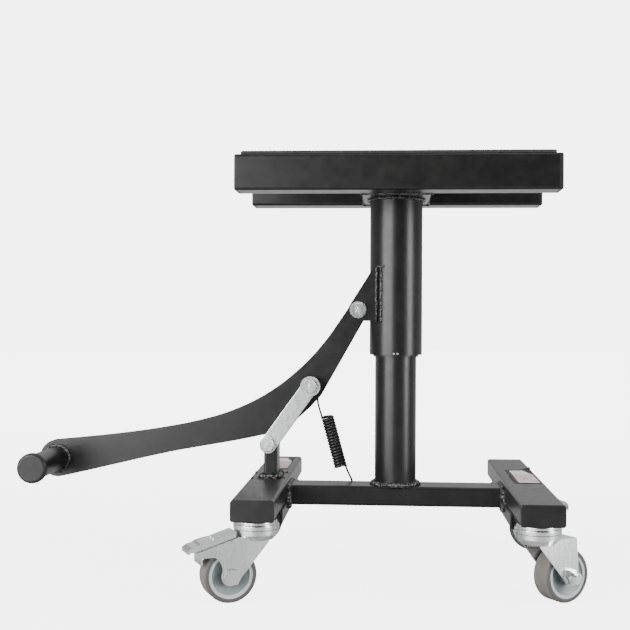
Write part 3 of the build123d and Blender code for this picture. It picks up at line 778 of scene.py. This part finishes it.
class STAND_OT_lever_details(bpy.types.Operator):
    """Adds the weld round the foot peg and the ribs behind its cap"""
    bl_idname = "lift_stand.lever_details"
    bl_label = "Lever details"

    def execute(self, context):
        sizes = context.scene.stand_sizes
        rng = random.Random(37)
        lo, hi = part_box("foot_peg_tube")
        centre = (lo + hi) / 2
        bm = bmesh.new()
        lay_bead(
            bm,
            ring_points(Vector((centre.x, hi.y - 1.2 * MM, centre.z)), (hi.z - lo.z) / 2 + 1.0 * MM, "Y", 30),
            sizes.bead * 1.35, rng, close=True
        )
        add_piece(
            "weld_foot_peg", melt("foot_peg", bm, sizes.bead_voxel), need("coated_weld"), "lever",
        )
        bm = bmesh.new()
        for back in (1.6, 4.4):
            ring = bmesh.ops.create_circle(
                bm, segments=10, radius=0.7 * MM,
                matrix=Matrix.Translation((centre.x + (hi.z - lo.z) / 2, lo.y + back * MM, centre.z))
            )
            edges = list({e for v in ring["verts"] for e in v.link_edges})
            bmesh.ops.spin(
                bm, geom=ring["verts"] + edges, cent=(centre.x, lo.y, centre.z), axis=(0, 1, 0),
                angle=2 * math.pi, steps=64, use_merge=True
            )
        bmesh.ops.remove_doubles(bm, verts=bm.verts[:], dist=1e-6)
        bmesh.ops.recalc_face_normals(bm, faces=bm.faces[:])
        add_piece("foot_peg_ribs", bm, need("black_plastic"), "lever")
        return {"FINISHED"}


class STAND_OT_sleeve_dowels(bpy.types.Operator):
    """Adds the two small dowels that hold the guide bush in the sleeve"""
    bl_idname = "lift_stand.sleeve_dowels"
    bl_label = "Bush dowels"

    def execute(self, context):
        bm = bmesh.new()
        for turn in (-4.6, 3.6, 172):
            angle = math.radians(turn)
            spot = at(27.0 * math.sin(angle), -27.0 * math.cos(angle), 224.0)
            place = Matrix.Translation(spot) @ Matrix.Rotation(angle, 4, "Z") @ Matrix.Rotation(math.pi / 2, 4, "X")
            made = bmesh.ops.create_cone(
                bm, cap_ends=True, segments=20, radius1=0.95 * MM, radius2=0.95 * MM, depth=0.9 * MM,
                matrix=place
            )
            edges = [e for v in made["verts"] for e in v.link_edges if e.calc_length() < 0.6 * MM]
            bmesh.ops.bevel(
                bm, geom=list(set(edges)), offset=0.25 * MM, offset_type="OFFSET", affect="EDGES", segments=2,
                profile=0.5, material=-1
            )
        add_piece("bush_dowels", bm, need("zinc_plate"), "platform")
        return {"FINISHED"}


class STAND_OT_pedal_ribs(bpy.types.Operator):
    """Adds the pressed grip studs on the brake pedals"""
    bl_idname = "lift_stand.pedal_ribs"
    bl_label = "Pedal ribs"

    def execute(self, context):
        for corner in BRAKED:
            bm = bmesh.new()
            for along, up in PEDAL_STUDS:
                for aside in (-4.2, 4.2):
                    bmesh.ops.create_icosphere(
                        bm, subdivisions=3, radius=1.5,
                        matrix=Matrix.Translation((along, aside, up)) @ Matrix.Diagonal((1.0, 1.0, 0.8, 1.0))
                    )
            bm.transform(wheel_frame(corner))
            add_piece("pedal_ribs_" + corner, bm, need("zinc_plate"), "pedal_" + corner)
        return {"FINISHED"}


class STAND_OT_bolt_marks(bpy.types.Operator):
    """Adds the raised radial strokes on the bolt heads of the linkage"""
    bl_idname = "lift_stand.bolt_marks"
    bl_label = "Bolt head strokes"

    def execute(self, context):
        for node, body, (x, z) in (
            ("lever_pivot_bolt", "platform", LEVER_PIVOT), ("upper_link_bolts", "links", LINK_HEAD),
            ("lower_link_bolt", "base", LINK_FOOT)
        ):
            centre = at(x, 0, z)
            centre.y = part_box(node)[0].y
            bm = bmesh.new()
            for step in range(3):
                turn = Matrix.Rotation(math.radians(60 * step + 15), 4, "Y")
                made = bmesh.ops.create_cube(
                    bm, size=1.0,
                    matrix=Matrix.Translation(centre) @ turn @ Matrix.Diagonal(
                        (7.6 * MM, 0.7 * MM, 0.9 * MM, 1)
                    )
                )
                edges = list({e for v in made["verts"] for e in v.link_edges})
                bmesh.ops.bevel(
                    bm, geom=edges, offset=0.22 * MM, offset_type="OFFSET", affect="EDGES", segments=2,
                    profile=0.5, material=-1
                )
            add_piece("strokes_" + node, bm, need("zinc_plate"), body)
        return {"FINISHED"}


class STAND_OT_labels(bpy.types.Operator):
    """Lays the two plain film labels on the rails, the right one with a loose curled corner"""
    bl_idname = "lift_stand.labels"
    bl_label = "Rail labels"

    def execute(self, context):
        sizes = context.scene.stand_sizes
        colours = context.scene.stand_colours
        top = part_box("rail_left")[1].z
        for name, x, y, loose in (("left", -142.0, 50.0, 0.0), ("right", 119.0, -33.0, 1.0)):
            start = at(x, y, 0)
            start.z = top
            film = label_film(colours, "label_film_" + name, start, sizes.label_width, sizes.label_length)
            bm = bmesh.new()
            bmesh.ops.create_grid(
                bm, x_segments=24, y_segments=64, size=0.5, matrix=Matrix.Translation((0.5, 0.5, 0))
            )
            for vert in bm.verts:
                across, along = vert.co.x, vert.co.y
                corner = max(0.0, (across - 0.55) / 0.45) * max(0.0, (along - 0.72) / 0.28)
                edge = max(0.0, (0.10 - across) / 0.10) * (
                    0.5 - 0.5 * math.cos(2 * math.pi * min(1.0, along * 1.4))
                )
                lift = loose * sizes.label_lift * corner ** 1.5 * 2.0 + 0.8 * MM * edge
                vert.co = start + Vector(
                    (
                        across * sizes.label_width, along * sizes.label_length - loose * 9 * MM * corner ** 2,
                        0.12 * MM + lift
                    )
                )
            piece = add_piece("label_" + name, bm, film, "base")
            thick = piece.modifiers.new("film", "SOLIDIFY")
            thick.thickness = 0.1 * MM
            thick.offset = 1.0
        return {"FINISHED"}


class STAND_OT_stage(bpy.types.Operator):
    """Sets up the pale floor, the soft lights and the camera"""
    bl_idname = "lift_stand.stage"
    bl_label = "Stage"

    def execute(self, context):
        studio = context.scene.stand_studio
        colours = context.scene.stand_colours
        material, tree, shader = new_material("studio_floor", 0.85)
        vector = object_coords(tree)
        tree.links.new(
            blend_colours(
                tree, spread(tree, noise(tree, vector, 3.0), 0, 0.2), colours.floor, (0.41, 0.41, 0.41)
            ),
            shader.inputs["Base Color"]
        )
        seen = tree.nodes.new("ShaderNodeLightPath").outputs["Is Camera Ray"]
        glow = calc(
            tree, "ADD", calc(tree, "MULTIPLY", seen, 4.6),
            spread(tree, axes(tree, vector)["Y"], 0.0, 0.95, 0.1, 1.6)
        )
        shader.inputs["Emission Color"].default_value = (1.0, 1.0, 1.0, 1.0)
        tree.links.new(glow, shader.inputs["Emission Strength"])
        bm = bmesh.new()
        bmesh.ops.create_circle(
            bm, cap_ends=True, segments=96, radius=9.0, matrix=Matrix.Translation((COLUMN_X, 0, -0.0002))
        )
        floor = bpy.data.objects.new("studio_floor", bpy.data.meshes.new("studio_floor"))
        bm.to_mesh(floor.data)
        bm.free()
        floor.data.materials.append(material)
        context.scene.collection.objects.link(floor)

        aim = at(-60, 0, 230)
        lamps = (
            ("top_softbox", at(-100, -150, 1700), 1.5, 1.3, studio.top_power),
            ("left_softbox", at(-1080, -930, 420), 0.55, 1.4, studio.side_power),
            ("front_softbox", at(-960, -1900, 420), 0.75, 1.3, studio.side_power * 1.25),
            ("right_softbox", at(1220, -640, 420), 0.5, 1.4, studio.side_power),
            ("back_softbox", at(-100, 1500, 900), 2.0, 1.2, studio.back_power),
        )
        for name, place, width, height, power in lamps:
            light = bpy.data.lights.new(name, "AREA")
            light.shape = "RECTANGLE"
            light.size = width
            light.size_y = height
            light.energy = power
            lamp = bpy.data.objects.new(name, light)
            lamp.matrix_world = Matrix.Translation(place) @ (aim - place).to_track_quat("-Z", "Y").to_matrix().to_4x4()
            context.scene.collection.objects.link(lamp)

        world = bpy.data.worlds.new("studio_surround")
        context.scene.world = world
        world.use_nodes = True
        nodes, links = world.node_tree.nodes, world.node_tree.links
        nodes.clear()
        output = nodes.new("ShaderNodeOutputWorld")
        background = nodes.new("ShaderNodeBackground")
        links.new(background.outputs["Background"], output.inputs["Surface"])
        coords = nodes.new("ShaderNodeTexCoord")
        parts = nodes.new("ShaderNodeSeparateXYZ")
        links.new(coords.outputs["Generated"], parts.inputs["Vector"])
        shade = nodes.new("ShaderNodeMapRange")
        shade.inputs["From Min"].default_value = -0.75
        shade.inputs["From Max"].default_value = 0.35
        shade.inputs["To Min"].default_value = 0.05
        shade.inputs["To Max"].default_value = 0.48
        links.new(parts.outputs["Y"], shade.inputs["Value"])
        seen = nodes.new("ShaderNodeLightPath")
        choose = nodes.new("ShaderNodeMix")
        choose.inputs["B"].default_value = 5.5
        links.new(seen.outputs["Is Camera Ray"], choose.inputs["Factor"])
        links.new(shade.outputs["Result"], choose.inputs["A"])
        level = nodes.new("ShaderNodeCombineColor")
        for channel in ("Red", "Green", "Blue"):
            links.new(choose.outputs["Result"], level.inputs[channel])
        links.new(level.outputs["Color"], background.inputs["Color"])
        background.inputs["Strength"].default_value = studio.surround

        yaw, pitch, roll = studio.camera_yaw, studio.camera_pitch, studio.camera_roll
        ahead = Vector((math.sin(yaw) * math.cos(pitch), math.cos(yaw) * math.cos(pitch), math.sin(pitch)))
        right = Vector((math.cos(yaw), -math.sin(yaw), 0))
        up = right.cross(ahead)
        across = right * math.cos(roll) + up * math.sin(roll)
        upward = up * math.cos(roll) - right * math.sin(roll)
        camera = bpy.data.objects.new("studio_camera", bpy.data.cameras.new("studio_camera"))
        camera.data.lens = studio.lens
        camera.data.sensor_width = 36.0
        camera.data.clip_end = 50.0
        rows = Matrix((across, upward, -ahead)).transposed().to_4x4()
        camera.matrix_world = Matrix.Translation(at(-9.1, -1134.9, 257.6)) @ rows
        context.scene.collection.objects.link(camera)
        context.scene.camera = camera
        return {"FINISHED"}


class STAND_PT_panel(bpy.types.Panel):
    """Lists the steps that dress the stand"""
    bl_idname = "STAND_PT_panel"
    bl_label = "Lift Stand"
    bl_space_type = "VIEW_3D"
    bl_region_type = "UI"
    bl_category = "Lift Stand"

    def draw(self, context):
        for step in STEPS:
            self.layout.operator(step.bl_idname)
        for group in (context.scene.stand_colours, context.scene.stand_sizes, context.scene.stand_studio):
            box = self.layout.box()
            for name in group.__annotations__:
                box.prop(group, name)


STEPS = (
    STAND_OT_finishes,
    STAND_OT_spring,
    STAND_OT_base_welds,
    STAND_OT_platform_welds,
    STAND_OT_lever_details,
    STAND_OT_sleeve_dowels,
    STAND_OT_pedal_ribs,
    STAND_OT_bolt_marks,
    STAND_OT_labels,
    STAND_OT_stage,
)
GROUPS = (("stand_colours", StandColours), ("stand_sizes", StandSizes), ("stand_studio", StudioSettings))


def register():
    for name, group in GROUPS:
        bpy.utils.register_class(group)
        setattr(bpy.types.Scene, name, bpy.props.PointerProperty(type=group))
    for cls in (*STEPS, STAND_PT_panel):
        bpy.utils.register_class(cls)


def unregister():
    for cls in reversed((*STEPS, STAND_PT_panel)):
        bpy.utils.unregister_class(cls)
    for name, group in reversed(GROUPS):
        delattr(bpy.types.Scene, name)
        bpy.utils.unregister_class(group)


def main():
    register()
    for step in STEPS:
        prefix, call = step.bl_idname.split(".")
        getattr(getattr(bpy.ops, prefix), call)()


if __name__ == "__main__":
    main()
